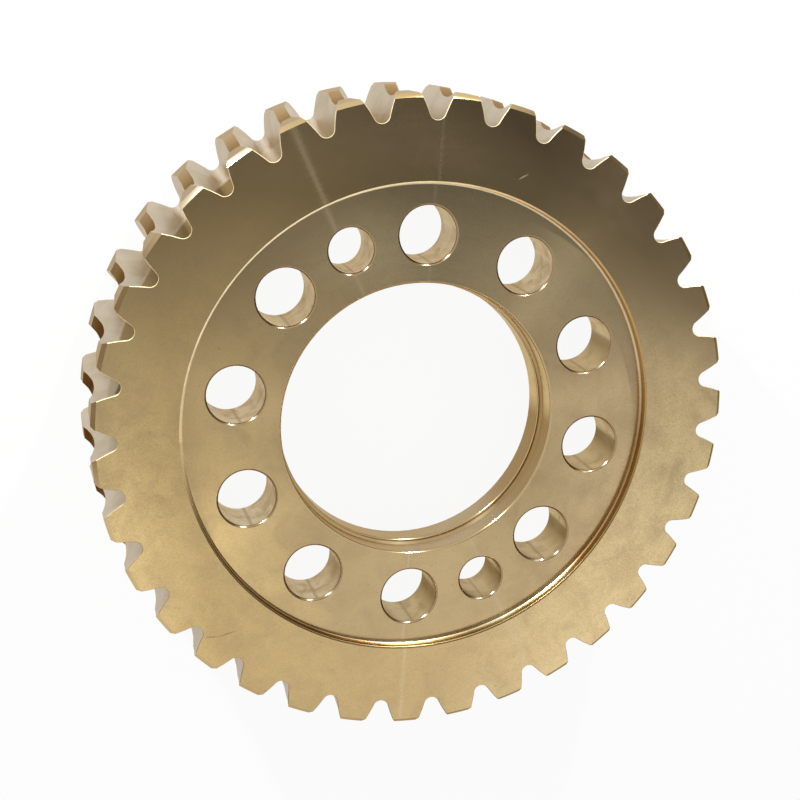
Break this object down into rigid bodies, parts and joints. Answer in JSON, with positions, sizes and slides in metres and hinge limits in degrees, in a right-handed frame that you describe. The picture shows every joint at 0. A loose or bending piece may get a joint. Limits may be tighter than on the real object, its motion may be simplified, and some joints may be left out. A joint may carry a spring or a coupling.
{
  "type": "worm wheel",
  "caption": "Round throated worm wheel with a bolting flange set into its rim, a stepped central bore and a deep hollow at the back.",
  "frame": {"origin": "on the wheel's axis, at the back face of the rim that it rests on", "axes": "+Z along the wheel's axis and out of its front face, +X through the middle large hole of one group"},
  "size_m": [0.303, 0.303, 0.068],
  "materials": {
    "bronze": "turned bronze, satin, with light stains and cut tooth flanks"
  },
  "bodies": {
    "root": {"worm_wheel": "bronze"}
  },
  "joints": []
}
